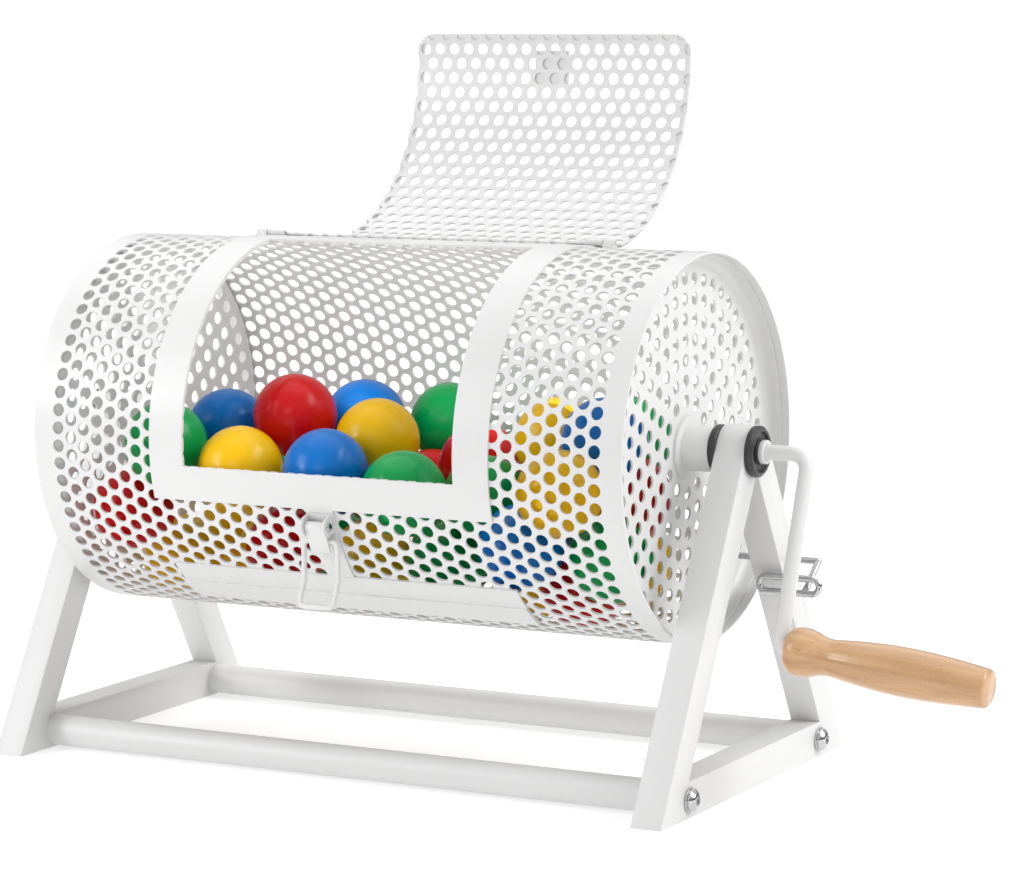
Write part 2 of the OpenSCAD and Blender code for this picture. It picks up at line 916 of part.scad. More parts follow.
// Frame at the spindle's corner, with X along the spindle
module spindle_frame() {
    crank_frame()
        translate([arm_x, 0, -crank_r])
            rotate([0, spindle_droop, 0])
                children();
}

// Axle, arm and spindle, bent from one rod
module crank_rod() {
    color("white") {
        crank_frame() {
            bar(rod_r, axle_x, arm_x - upper_bend_r);
            translate([arm_x - upper_bend_r, 0, -upper_bend_r])
                rotate([90, 0, 0])
                    bent_rod(upper_bend_r, rod_r, 0, 90);
            translate([arm_x, 0, lower_tangent - crank_r])
                cylinder(r = rod_r, h = crank_r - lower_tangent - upper_bend_r);
            translate([arm_x + lower_bend_r, 0, lower_tangent - crank_r])
                rotate([90, 0, 0])
                    bent_rod(lower_bend_r, rod_r, 180, lower_turn);
        }
        spindle_frame() {
            bar(rod_r, lower_tangent, spindle_end);
            bar(rod_r + shoulder_rise, lower_tangent - shoulder_t / 2, lower_tangent + shoulder_t / 2);
        }
    }
}

module wood_handle() {
    last = handle_stations[len(handle_stations) - 1];
    bore_end = handle_length - handle_cover + wood_gap;
    room_t = grip_ring_t + 4 * wood_gap;
    color("burlywood")
        spindle_frame()
            translate([grip_start, 0, 0])
                rotate([0, 90, 0])
                    difference() {
                        rotate_extrude()
                            polygon(concat([[0, 0]], handle_profile, [[last[1], last[0]], [0, last[0]]]));
                        translate([0, 0, -over])
                            cylinder(r = rod_r + wood_gap, h = over + bore_end);
                        translate([0, 0, -over])
                            cylinder(r = rod_bore_r + grip_bush_wall, h = over + grip_bush_length);
                        translate([0, 0, handle_length - handle_cover - grip_ring_back - room_t / 2])
                            cylinder(r = rod_r + grip_ring_wall + wood_gap, h = room_t);
                    }
}

module grip_bush() {
    color("goldenrod")
        spindle_frame()
            difference() {
                bar(rod_bore_r + grip_bush_wall, grip_start, grip_start + grip_bush_length);
                bar(rod_bore_r, grip_start - over, grip_start + grip_bush_length + over);
            }
}

// Ring that keeps the handle on the spindle
module grip_ring() {
    ring_x = spindle_end - grip_ring_back - grip_ring_t / 2;
    color("dimgray")
        spindle_frame()
            difference() {
                bar(rod_r + grip_ring_wall, ring_x, ring_x + grip_ring_t);
                bar(rod_r + fixed_gap, ring_x - over, ring_x + grip_ring_t + over);
            }
}

// Shows a piece of the right hinge and its mirror image at the left hinge
module at_hinges() {
    translate([hinge_shift, 0, 0])
        both_ends()
            children();
}

// Drum's half of a hinge: a knuckle on a foot that lies on the shell behind the door frame
module hinge_brackets() {
    web_from = hinge_angle - web_sweep;
    web_to = hinge_angle + web_sweep;
    color("white")
        at_axis()
            at_hinges()
                difference() {
                    union() {
                        arc_sheet(drum_r, skin_r, hinge_angle - leaf_sweep, web_to, bracket_x, bracket_end);
                        arc_sheet(drum_r, hinge_r, web_from, web_to, bracket_x, bracket_end);
                        translate([0, hinge_y, hinge_z])
                            bar(barrel_d / 2, bracket_x, bracket_end);
                    }
                    translate([0, hinge_y, hinge_z])
                        bar(hinge_pin_d / 2 + hinge_pin_gap, bracket_x - over, bracket_end + over);
                }
}

module hinge_pins() {
    color("silver")
        at_axis()
            at_hinges()
                translate([0, hinge_y, hinge_z])
                    bar(hinge_pin_d / 2, hinge_x - pin_tail, bracket_end + pin_tail);
}

// Swings what is modelled on the closed lid to the open position
module opened() {
    at_axis()
        translate([0, hinge_y, hinge_z])
            rotate([-lid_open_angle, 0, 0])
                translate([0, -hinge_y, -hinge_z])
                    children();
}

// Waste outside the lid's two free corners, which takes a hair off both edges
module corner_waste() {
    hair = 0.05;
    reach = lid_corner_r + over;
    both_ends()
        on_drum(lid_to, drum_r - reach)
            translate([lid_w / 2 - lid_corner_r - hair, lid_corner_r + hair, 0])
                linear_extrude(2 * reach)
                    difference() {
                        translate([0, -2 * lid_corner_r])
                            square(2 * lid_corner_r);
                        circle(r = lid_corner_r);
                    }
}

module lid_panel() {
    color("white")
        opened()
            difference() {
                arc_sheet(lid_inner_r, lid_outer_r, lid_from, lid_to, -lid_w / 2, lid_w / 2);
                corner_waste();
            }
}

module lid_hem() {
    half_w = lid_w / 2;
    inner_w = half_w - hem_w;
    hem_from = hinge_angle + leaf_sweep + hem_leaf_gap;
    inner_to = lid_to - hem_sweep;
    color("white")
        opened()
            difference() {
                arc_sheet(lid_outer_r, hem_r, hem_from, lid_to, -half_w, half_w);
                arc_sheet(lid_inner_r, hem_r + over, hem_from - over, inner_to, -inner_w, inner_w);
                corner_waste();
            }
}

// Lid's half of a hinge: a knuckle inside the bracket's, with a leaf on the lid
module lid_leaves() {
    leaf_to = hinge_angle + leaf_sweep;
    color("white")
        opened()
            at_hinges()
                difference() {
                    union() {
                        arc_sheet(lid_outer_r, hem_r, hinge_angle, leaf_to, leaf_x, leaf_end);
                        translate([0, hinge_y, hinge_z])
                            bar(barrel_d / 2, hinge_x, leaf_end);
                    }
                    translate([0, hinge_y, hinge_z])
                        bar(hinge_pin_d / 2 + hinge_pin_gap, leaf_x - over, leaf_end + over);
                }
}

// Plate with a hook that the bail is thrown over
module lid_catch() {
    half_w = catch_w / 2;
    hook_w = half_w - hook_side;
    hook_r = hem_r + hook_h;
    hook_angle = catch_from + hook_from;
    hook_to = hook_angle + hook_t / hem_r * 180 / PI;
    color("white")
        opened() {
            arc_sheet(lid_outer_r, hem_r, catch_from, catch_to, -half_w, half_w);
            arc_sheet(hem_r, hook_r, hook_angle, hook_to, -hook_w, hook_w);
            arc_sheet(hook_r - sheet_t, hook_r, catch_from, hook_angle, -hook_w, hook_w);
        }
}

module catch_rivets() {
    color("white")
        opened()
            for (x = [catch_rivet_side - catch_w / 2, catch_w / 2 - catch_rivet_side])
                on_drum(catch_to - catch_rivet_edge, hem_r)
                    translate([x, 0, 0])
                        cylinder(d1 = catch_rivet_d, d2 = 0.6 * catch_rivet_d, h = catch_rivet_h);
}

// Foot on the latch plate with two upright ears
module latch_base() {
    foot_from = rivet_angle - foot_sweep / 2;
    foot_to = rivet_angle + foot_sweep / 2;
    neck_from = rivet_angle - neck_sweep / 2;
    neck_to = rivet_angle + neck_sweep / 2;
    cut_x = ear_x + over;
    color("white")
        at_axis()
            difference() {
                union() {
                    arc_sheet(skin_r, skin_r + sheet_t, foot_from, foot_to, -ear_x, ear_x);
                    both_ends() {
                        translate([0, rivet_y, rivet_z])
                            bar(ear_r, ear_x - sheet_t, ear_x);
                        arc_sheet(skin_r, rivet_r, neck_from, neck_to, ear_x - sheet_t, ear_x);
                    }
                }
                bar(skin_r, -cut_x, cut_x);
                translate([0, rivet_y, rivet_z])
                    bar(rivet_d / 2 + fixed_gap, -cut_x, cut_x);
            }
}

module latch_rivet() {
    head_x = ear_x + fixed_gap;
    color("silver")
        at_axis()
            translate([0, rivet_y, rivet_z]) {
                bar(rivet_d / 2, -head_x - rivet_head_t / 2, head_x + rivet_head_t / 2);
                both_ends()
                    bar(rivet_head_d / 2, head_x, head_x + rivet_head_t);
            }
}

// Lever between the ears, with a cross bore for the bail under its pivot
module latch_lever() {
    rivet_bore_r = rivet_d / 2 + latch_gap;
    bail_bore_r = bail_r + latch_gap;
    front_y = -rivet_d / 2 - lever_rivet_wall;
    cut_x = lever_x + over;
    color("white")
        at_axis()
            translate([0, rivet_y, rivet_z])
                rotate([lever_angle, 0, 0])
                    difference() {
                        union() {
                            bar(-front_y, -lever_x, lever_x);
                            translate([-lever_x, front_y, -bail_offset])
                                cube([2 * lever_x, lever_t, bail_offset]);
                            translate([0, 0, -bail_offset])
                                bar(bail_bore_r + lever_bail_wall, -lever_x, lever_x);
                            translate([-lever_x, front_y, -bail_offset - lever_tail])
                                cube([2 * lever_x, sheet_t, lever_tail]);
                        }
                        bar(rivet_bore_r, -cut_x, cut_x);
                        translate([0, 0, -bail_offset])
                            bar(bail_bore_r, -cut_x, cut_x);
                    }
}

// Pin end and straight arm at one side of the bail
module bail_arm() {
    half_w = bail_w / 2;
    bar(bail_r, lever_x - bail_pin, half_w - bail_bend_r);
    translate([half_w - bail_bend_r, 0, -bail_bend_r])
        rotate([90, 0, 0])
            bent_rod(bail_bend_r, bail_r, 0, 90);
    translate([half_w, 0, -bail_straight]) {
        cylinder(r = bail_r, h = bail_straight - bail_bend_r);
        sphere(r = bail_r + elbow_swell);
    }
}

// Kinked end at one side of the bail, in the kink's own frame
module bail_corner() {
    half_w = bail_w / 2;
    translate([half_w, 0, bail_bend_r - kink_length])
        cylinder(r = bail_r, h = kink_length - bail_bend_r);
    translate([half_w - bail_bend_r, 0, bail_bend_r - kink_length])
        rotate([90, 0, 0])
            bent_rod(bail_bend_r, bail_r, -90, 90);
}

module latch_bail() {
    bottom_x = bail_w / 2 - bail_bend_r;
    color("white")
        at_axis()
            translate([0, bail_y, bail_z]) {
                both_ends()
                    bail_arm();
                translate([0, 0, -bail_straight])
                    rotate([-kink_angle, 0, 0]) {
                        both_ends()
                            bail_corner();
                        translate([0, 0, -kink_length])
                            bar(bail_r, -bottom_x, bottom_x);
                    }
            }
}

// Straight pin, a clip of the same wire in front of the leg, and the link between them
module lock_pin() {
    clip_r = clip_h / 2;
    clip_end = lock_end + clip_past;
    link = [-link_back, -clip_forward, -clip_drop - clip_h];
    link_length = norm(link);
    color("silver")
        translate([0, lock_y, axis_height + lock_z]) {
            bar(lock_r, plate_x + lock_tip_gap, lock_end);
            translate([lock_end, 0, 0]) {
                sphere(r = lock_r + elbow_swell);
                rotate([0, acos(link[2] / link_length), atan2(link[1], link[0])])
                    cylinder(r = lock_r, h = link_length);
                translate(link)
                    sphere(r = lock_r + elbow_swell);
            }
            translate([0, -clip_forward, -clip_drop - clip_r]) {
                for (z = [-clip_r, clip_r])
                    translate([0, 0, z])
                        bar(lock_r, clip_from + clip_r, clip_end - clip_r);
                translate([clip_from + clip_r, 0, 0])
                    rotate([90, 0, 0])
                        bent_rod(clip_r, lock_r, 90, 180);
                translate([clip_end - clip_r, 0, 0])
                    rotate([90, 0, 0])
                        bent_rod(clip_r, lock_r, -90, 180);
            }
        }
}

// Whether a ball lies inside the drum, clear of its walls
function inside(ball) =
    norm([ball[2], ball[3]]) + ball_r + ball_gap <= inner_r
    && abs(ball[1]) + ball_r + ball_gap <= plate_x - sheet_t;

// Whether two balls are nearer than their gap
function near(a, b) = norm([a[1] - b[1], a[2] - b[2], a[3] - b[3]]) < ball_d + ball_gap;

// Whether a ball is clear of all those already kept
function clear(ball, kept) = len([for (other = kept) if (near(ball, other)) 1]) == 0;

// Keeps each ball that is inside the drum and clear of the balls before it
function keep(balls, i = 0, kept = []) =
    i >= len(balls) ? kept
    : keep(balls, i + 1, inside(balls[i]) && clear(balls[i], kept) ? concat(kept, [balls[i]]) : kept);

module balls(colour) {
    at_axis()
        for (ball = heap)
            if (ball[0] == colour)
                translate([ball[1], ball[2], ball[3]])
                    sphere(r = ball_r, $fn = 64);
}

module balls_red() {
    color("red")
        balls("red");
}

module balls_blue() {
    color("blue")
        balls("blue");
}

module balls_yellow() {
    color("gold")
        balls("yellow");
}

module balls_green() {
    color("green")
        balls("green");
}

left_a_frame();
right_a_frame();
left_cross_tube();
right_cross_tube();
front_rail();
rear_rail();
rail_inserts();
washers();
rail_bolts();
left_inner_bush();
right_inner_bush();
left_outer_bush();
right_outer_bush();
drum_shell();
left_end_plate();
right_end_plate();
door_frame();
seam_strip();
latch_plate();
left_hub();
right_hub();
set_screws();
left_axle();
left_stop_collar();
crank_rod();
right_stop_collar();
hinge_brackets();
hinge_pins();
latch_base();
latch_rivet();
lid_panel();
lid_hem();
lid_leaves();
lid_catch();
catch_rivets();
latch_lever();
latch_bail();
lock_pin();
wood_handle();
grip_bush();
grip_ring();
balls_red();
balls_blue();
balls_yellow();
balls_green();
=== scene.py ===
# %% [markdown]
# # The looks of a raffle drum
#
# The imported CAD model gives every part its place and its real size. This script opens it and replaces the
# parts whose surface carries most of the look, such as the perforated sheets, the balls and the wooden
# handle. It rounds the sharp edges of many others and gives all of them a finish. Everything is in metres:
# X runs along the drum, the door opens toward -Y, and Z is up.

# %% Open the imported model
import json
import math
import bpy
from mathutils import Matrix, Vector

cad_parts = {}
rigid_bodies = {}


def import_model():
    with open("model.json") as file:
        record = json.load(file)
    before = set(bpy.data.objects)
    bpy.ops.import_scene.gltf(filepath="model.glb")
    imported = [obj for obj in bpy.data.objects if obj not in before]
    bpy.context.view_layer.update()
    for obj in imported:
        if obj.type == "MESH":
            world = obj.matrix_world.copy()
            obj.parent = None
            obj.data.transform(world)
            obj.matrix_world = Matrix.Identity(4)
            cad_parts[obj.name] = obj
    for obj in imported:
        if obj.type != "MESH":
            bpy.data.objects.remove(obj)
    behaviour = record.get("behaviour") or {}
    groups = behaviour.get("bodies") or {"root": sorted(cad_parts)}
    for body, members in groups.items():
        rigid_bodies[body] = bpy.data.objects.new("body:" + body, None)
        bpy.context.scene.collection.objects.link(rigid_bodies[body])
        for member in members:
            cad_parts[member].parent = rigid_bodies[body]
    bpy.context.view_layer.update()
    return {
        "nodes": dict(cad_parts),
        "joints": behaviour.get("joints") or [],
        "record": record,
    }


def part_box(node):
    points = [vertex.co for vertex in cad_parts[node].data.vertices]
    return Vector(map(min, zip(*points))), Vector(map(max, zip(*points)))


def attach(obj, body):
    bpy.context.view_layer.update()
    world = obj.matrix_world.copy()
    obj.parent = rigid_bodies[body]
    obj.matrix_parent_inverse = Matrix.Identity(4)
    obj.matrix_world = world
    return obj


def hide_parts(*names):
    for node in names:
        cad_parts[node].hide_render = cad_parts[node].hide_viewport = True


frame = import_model()
nodes = frame["nodes"]
MM = 0.001

# %% [markdown]
# The drum's axis is the natural reference: the shell, the door and the lid are described by a radius and by
# angles about it. The axis and the drum's radius come from the shell's own box, so they follow the CAD model.

# %% Measure the drum
shell_low, shell_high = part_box("drum_shell")
drum_r = (shell_high.z - shell_low.z) / 2
axis_z = (shell_high.z + shell_low.z) / 2
shell_x = shell_high.x
sheet_t = 1 * MM
print("drum radius", round(drum_r / MM, 2), "axis height", round(axis_z / MM, 2))

# %% [markdown]
# ## Camera
#
# The photograph was taken a little above the drum, from its right front. A long lens keeps the ellipses of
# the drum's two ends alike, so the camera stands well back. The small shifts put the optical centre where
# the photograph's crop has it.

# %% Place the camera
camera_from_axis = Vector((851.7, -1476.9, 214.5)) * MM
camera_yaw = math.radians(28.41)
camera_tilt = math.radians(82.59)
camera_roll = math.radians(-0.43)
bpy.ops.object.camera_add(location=camera_from_axis + Vector((0, 0, axis_z)))
camera = bpy.context.object
camera.name = "photo_camera"
turn = Matrix.Rotation(camera_yaw, 3, "Z")
turn = turn @ Matrix.Rotation(camera_tilt, 3, "X") @ Matrix.Rotation(camera_roll, 3, "Z")
camera.rotation_euler = turn.to_euler()
camera.data.sensor_width = 36
camera.data.lens = 126.65
camera.data.shift_x = 0.0011
camera.data.shift_y = -0.0027
bpy.context.scene.camera = camera
print("camera at", [round(c, 3) for c in camera.location])

# %% [markdown]
# ## Light and floor
#
# White metal on white paper reads only through soft gradients. A broad key light comes from above the crank's
# side and makes the faces that look that way nearly white, while the faces towards the door get mostly what
# the floor and the surround give back, and stay light grey. The key and the weaker top light are suns,
# since a sun lights the whole object evenly, and a wide angle softens its shadows. A softbox puts a
# highlight on the balls.

# %% Key, top light and softbox
def far_light(name, way, strength, spread):
    """Adds an even light from a direction, with soft shadows."""
    bpy.ops.object.light_add(type="SUN", location=Vector(way).normalized() * 3)
    light = bpy.context.object
    light.name = name
    light.data.energy = strength
    light.data.angle = math.radians(spread)
    light.rotation_euler = Vector(way).to_track_quat("Z", "Y").to_euler()


far_light("key_from_crank_side", (0.8, 0.2, 0.6), 1.75, 38)
far_light("top_light", (-0.1, 0.3, 1.0), 1.05, 75)
softbox_at = Vector((-0.95, -1.0, 0.8))
bpy.ops.object.light_add(type="AREA", location=softbox_at)
softbox = bpy.context.object
softbox.name = "left_softbox"
softbox.data.size = 0.6
softbox.data.energy = 4.6
softbox.rotation_euler = (softbox_at - Vector((0, 0, axis_z))).to_track_quat("Z", "Y").to_euler()
print("key, top light and softbox")

# %% [markdown]
# Two places need more. A narrow spotlight whitens the left feet and touches little else, and another one
# reaches through the door. The drum's inside would still be dull, because its own sheet shades it, so a
# small fill light near the axis shines on its rear wall. Neither the camera nor reflections see that light.

# %% Two spots and a fill inside the drum
def spot(name, place, aim, cone, power):
    """Adds a soft spotlight that widens gently to its edge."""
    bpy.ops.object.light_add(type="SPOT", location=place)
    light = bpy.context.object
    light.name = name
    light.data.energy = power
    light.data.shadow_soft_size = 0.3
    light.data.spot_size = math.radians(cone)
    light.data.spot_blend = 1
    light.rotation_euler = (Vector(place) - Vector(aim)).to_track_quat("Z", "Y").to_euler()


spot("left_feet_spot", (-0.95, -1.15, 0.4), (-0.2, -0.04, 0.04), 20, 42)
spot("door_spot", (0.2, -1.7, 0.8), (-0.03, 0.02, 0.21), 11.5, 30)
fill_at = Vector((0, -0.02, axis_z + 0.035))
fill_tilt = math.radians(100)
bpy.ops.object.light_add(type="AREA", location=fill_at, rotation=(fill_tilt, 0, 0))
fill = bpy.context.object
fill.name = "drum_fill"
fill.data.shape = "RECTANGLE"
fill.data.size = 0.26
fill.data.size_y = 0.05
fill.data.energy = 0.08
fill.visible_camera = False
fill.visible_glossy = False
print("two spots and a fill")

# %% [markdown]
# The surround shows each kind of ray something else. The camera sees plain white. Glossy rays see it dark at
# the horizon and white above, which gives the plated wires something to reflect, and all other rays see an
# even, weaker white. The floor is white paper, and a glow of its own stands in for the overexposed ground of
# the photograph.

# %% Surround and floor
world = bpy.context.scene.world or bpy.data.worlds.new("surround")
bpy.context.scene.world = world
world.use_nodes = True
sky = world.node_tree.nodes
lit = sky["Background"]
lit.inputs["Color"].default_value = (1, 1, 1, 1)
lit.inputs["Strength"].default_value = 0.62
seen = sky.new("ShaderNodeBackground")
seen.inputs["Color"].default_value = (1, 1, 1, 1)
seen.inputs["Strength"].default_value = 1.05
mirrored = sky.new("ShaderNodeBackground")
mirrored.inputs["Strength"].default_value = 0.9
direction = sky.new("ShaderNodeTexCoord")
split = sky.new("ShaderNodeSeparateXYZ")
band = sky.new("ShaderNodeValToRGB")
band.color_ramp.elements[0].position = 0.05
band.color_ramp.elements[0].color = (0.07, 0.07, 0.075, 1)
band.color_ramp.elements[1].position = 0.5
band.color_ramp.elements[1].color = (1.0, 1.0, 1.0, 1)
rays = sky.new("ShaderNodeLightPath")
by_mirror = sky.new("ShaderNodeMixShader")
by_camera = sky.new("ShaderNodeMixShader")
for start, end in [
    (direction.outputs["Generated"], split.inputs["Vector"]),
    (split.outputs["Z"], band.inputs["Fac"]),
    (band.outputs["Color"], mirrored.inputs["Color"]),
    (rays.outputs["Is Glossy Ray"], by_mirror.inputs["Fac"]),
    (lit.outputs["Background"], by_mirror.inputs[1]),
    (mirrored.outputs["Background"], by_mirror.inputs[2]),
    (rays.outputs["Is Camera Ray"], by_camera.inputs["Fac"]),
    (by_mirror.outputs["Shader"], by_camera.inputs[1]),
    (seen.outputs["Background"], by_camera.inputs[2]),
    (by_camera.outputs["Shader"], sky["World Output"].inputs["Surface"]),
]:
    world.node_tree.links.new(start, end)
bpy.context.scene.view_settings.view_transform = "Standard"

bpy.ops.mesh.primitive_plane_add(size=30, location=(0, 0, 0))
floor = bpy.context.object
floor.name = "floor"
print("surround and floor")

# %% [markdown]
# ## Finishes
#
# Every finish starts as a Principled shader. What the finishes share is how a real surface varies: its gloss
# is never quite even, and its skin has a fine relief. A node group makes both from noise, and each material
# places that group with its own grain size and strength.

# %% A group for uneven gloss and fine relief
def surface_group():
    """Group: noise of a chosen grain gives a gloss value between two limits, and a height for a bump."""
    group = bpy.data.node_groups.new("surface_skin", "ShaderNodeTree")
    for name, kind, value in [
        ("Vector", "NodeSocketVector", None),
        ("Grain", "NodeSocketFloat", 900.0),
        ("Patch", "NodeSocketFloat", 30.0),
        ("Gloss low", "NodeSocketFloat", 0.3),
        ("Gloss high", "NodeSocketFloat", 0.4),
    ]:
        socket = group.interface.new_socket(name=name, in_out="INPUT", socket_type=kind)
        if value is not None:
            socket.default_value = value
    for name in ["Roughness", "Height", "Patches"]:
        group.interface.new_socket(name=name, in_out="OUTPUT", socket_type="NodeSocketFloat")
    tree = group.nodes
    source = tree.new("NodeGroupInput")
    sink = tree.new("NodeGroupOutput")
    patches = tree.new("ShaderNodeTexNoise")
    patches.inputs["Detail"].default_value = 4
    grain = tree.new("ShaderNodeTexNoise")
    grain.inputs["Detail"].default_value = 2
    spread = tree.new("ShaderNodeMapRange")
    spread.inputs["From Min"].default_value = 0.3
    spread.inputs["From Max"].default_value = 0.7
    link = group.links.new
    link(source.outputs["Vector"], patches.inputs["Vector"])
    link(source.outputs["Vector"], grain.inputs["Vector"])
    link(source.outputs["Patch"], patches.inputs["Scale"])
    link(source.outputs["Grain"], grain.inputs["Scale"])
    link(patches.outputs["Fac"], spread.inputs["Value"])
    link(source.outputs["Gloss low"], spread.inputs["To Min"])
    link(source.outputs["Gloss high"], spread.inputs["To Max"])
    link(spread.outputs["Result"], sink.inputs["Roughness"])
    link(grain.outputs["Fac"], sink.inputs["Height"])
    link(patches.outputs["Fac"], sink.inputs["Patches"])
    return group


surface_skin = surface_group()
print("group", surface_skin.name)

# %% A helper that starts a material on that group
def skinned_material(name, colour, second_colour, gloss, grain, patch, relief, depth):
    """Principled material whose colour drifts between two tones, with uneven gloss and a fine relief."""
    material = bpy.data.materials.new(name)
    material.use_nodes = True
    tree = material.node_tree.nodes
    link = material.node_tree.links.new
    shader = tree["Principled BSDF"]
    place = tree.new("ShaderNodeTexCoord")
    skin = tree.new("ShaderNodeGroup")
    skin.node_tree = surface_skin
    skin.inputs["Grain"].default_value = grain
    skin.inputs["Patch"].default_value = patch
    skin.inputs["Gloss low"].default_value = gloss[0]
    skin.inputs["Gloss high"].default_value = gloss[1]
    tones = tree.new("ShaderNodeMix")
    tones.data_type = "RGBA"
    tones.inputs["A"].default_value = (*colour, 1)
    tones.inputs["B"].default_value = (*second_colour, 1)
    bump = tree.new("ShaderNodeBump")
    bump.inputs["Strength"].default_value = relief
    bump.inputs["Distance"].default_value = depth
    link(place.outputs["Object"], skin.inputs["Vector"])
    link(skin.outputs["Patches"], tones.inputs["Factor"])
    link(tones.outputs["Result"], shader.inputs["Base Color"])
    link(skin.outputs["Roughness"], shader.inputs["Roughness"])
    link(skin.outputs["Height"], bump.inputs["Height"])
    link(bump.outputs["Normal"], shader.inputs["Normal"])
    return material, shader


# %% [markdown]
# The sheet, the tubes and the crank are powder coated: a thick white plastic skin with the faint relief of an
# orange's peel and a satin gloss. The bearings are black moulded nylon. The small hardware is plated and
# bright, what is inside is plain oiled steel, and the bush in the handle is brass.

# %% Coat, nylon and plated steel
drum_coat, _ = skinned_material(
    "drum_coat", (0.64, 0.64, 0.637), (0.68, 0.68, 0.677), gloss=(0.30, 0.42),
    grain=1100, patch=18, relief=0.06, depth=0.06 * MM)
stand_coat, _ = skinned_material(
    "stand_coat", (0.63, 0.63, 0.628), (0.67, 0.67, 0.668), gloss=(0.34, 0.46),
    grain=900, patch=14, relief=0.08, depth=0.07 * MM)
black_plastic, _ = skinned_material(
    "black_plastic", (0.022, 0.022, 0.023), (0.034, 0.034, 0.035), gloss=(0.28, 0.42),
    grain=1500, patch=60, relief=0.1, depth=0.05 * MM)
bright_steel, shader = skinned_material(
    "bright_steel", (0.50, 0.50, 0.51), (0.60, 0.60, 0.61), gloss=(0.05, 0.12),
    grain=2500, patch=90, relief=0.02, depth=0.03 * MM)
shader.inputs["Metallic"].default_value = 1
dark_steel, shader = skinned_material(
    "dark_steel", (0.20, 0.20, 0.21), (0.30, 0.30, 0.31), gloss=(0.3, 0.5),
    grain=2000, patch=120, relief=0.1, depth=0.04 * MM)
shader.inputs["Metallic"].default_value = 1
brass, shader = skinned_material(
    "brass", (0.72, 0.52, 0.22), (0.80, 0.62, 0.30), gloss=(0.2, 0.35),
    grain=2000, patch=90, relief=0.05, depth=0.04 * MM)
shader.inputs["Metallic"].default_value = 1
paper, shader = skinned_material(
    "floor_paper", (0.63, 0.63, 0.63), (0.65, 0.65, 0.65), gloss=(0.8, 0.9),
    grain=300, patch=4, relief=0.02, depth=0.1 * MM)
shader.inputs["Emission Color"].default_value = (1, 1, 1, 1)
shader.inputs["Emission Strength"].default_value = 0.46
floor.data.materials.append(paper)
print("metal, nylon and floor finishes")

# %% [markdown]
# The balls are blown plastic, coloured through, with a strong soft gloss. A little light enters them, which
# fills the shadow side with colour. Handling leaves faint scuffs, seen as patches of duller gloss.

# %% Ball plastics
ball_tones = {
    "red": ((0.55, 0.002, 0.004), (0.64, 0.005, 0.008)),
    "blue": ((0.0, 0.125, 0.45), (0.001, 0.165, 0.55)),
    "yellow": ((0.76, 0.43, 0.0), (0.84, 0.50, 0.002)),
    "green": ((0.0, 0.29, 0.062), (0.002, 0.36, 0.09)),
}
ball_plastic = {}
for colour, (tone, second_tone) in ball_tones.items():
    ball_plastic[colour], shader = skinned_material(
        "ball_" + colour, tone, second_tone, gloss=(0.16, 0.30),
        grain=260, patch=45, relief=0.02, depth=0.2 * MM)
    shader.inputs["Subsurface Weight"].default_value = 0.12
    shader.inputs["Subsurface Radius"].default_value = (0.003, 0.003, 0.003)
    shader.inputs["Specular IOR Level"].default_value = 0.24
print(len(ball_plastic), "ball plastics")

# %% [markdown]
# The handle is turned beech under clear lacquer. Beech has no bold grain: it shows broad, faint bands along
# the piece and many short dark flecks. Both are noise that is stretched along the handle's own axis, so the
# object's coordinates are first turned onto that axis by a Mapping node.

# %% Beech with flecks
grip_joint = next(j for j in frame["joints"] if j["child"] == "grip")
spindle_way = Vector(grip_joint["axis"]).normalized()
spindle_corner = Vector(grip_joint["pos_m"])
spindle_turn = spindle_way.to_track_quat("X", "Z").to_matrix()


def beech_material(band_dark, band_light, fleck_tone):
    """Wood whose bands and flecks run along the handle, in place of the usual drift between tones."""
    material, shader = skinned_material(
        "handle_wood", band_dark, band_light, gloss=(0.22, 0.36),
        grain=1500, patch=60, relief=0.05, depth=0.05 * MM)
    tree = material.node_tree.nodes
    link = material.node_tree.links.new
    place = next(n for n in tree if n.type == "TEX_COORD")
    along = tree.new("ShaderNodeMapping")
    along.vector_type = "TEXTURE"
    along.inputs["Location"].default_value = spindle_corner
    along.inputs["Rotation"].default_value = spindle_turn.to_euler()
    stretch = tree.new("ShaderNodeMapping")
    stretch.inputs["Scale"].default_value = (0.09, 1, 1)
    bands = tree.new("ShaderNodeTexNoise")
    bands.inputs["Scale"].default_value = 190
    bands.inputs["Detail"].default_value = 5
    bands.inputs["Distortion"].default_value = 0.4
    band_tones = tree.new("ShaderNodeValToRGB")
    band_tones.color_ramp.elements[0].position = 0.30
    band_tones.color_ramp.elements[0].color = (*band_dark, 1)
    band_tones.color_ramp.elements[1].position = 0.62
    band_tones.color_ramp.elements[1].color = (*band_light, 1)
    flecks = tree.new("ShaderNodeTexNoise")
    flecks.inputs["Scale"].default_value = 2100
    flecks.inputs["Detail"].default_value = 1
    fleck_mask = tree.new("ShaderNodeMapRange")
    fleck_mask.inputs["From Min"].default_value = 0.64
    fleck_mask.inputs["From Max"].default_value = 0.74
    fleck_mask.inputs["To Max"].default_value = 0.55
    darken = tree.new("ShaderNodeMix")
    darken.data_type = "RGBA"
    darken.inputs["B"].default_value = (*fleck_tone, 1)
    link(place.outputs["Object"], along.inputs["Vector"])
    link(along.outputs["Vector"], stretch.inputs["Vector"])
    link(stretch.outputs["Vector"], bands.inputs["Vector"])
    link(stretch.outputs["Vector"], flecks.inputs["Vector"])
    link(bands.outputs["Fac"], band_tones.inputs["Fac"])
    link(flecks.outputs["Fac"], fleck_mask.inputs["Value"])
    link(fleck_mask.outputs["Result"], darken.inputs["Factor"])
    link(band_tones.outputs["Color"], darken.inputs["A"])
    link(darken.outputs["Result"], shader.inputs["Base Color"])
    shader.inputs["Coat Weight"].default_value = 0.55
    shader.inputs["Coat Roughness"].default_value = 0.14
    return material


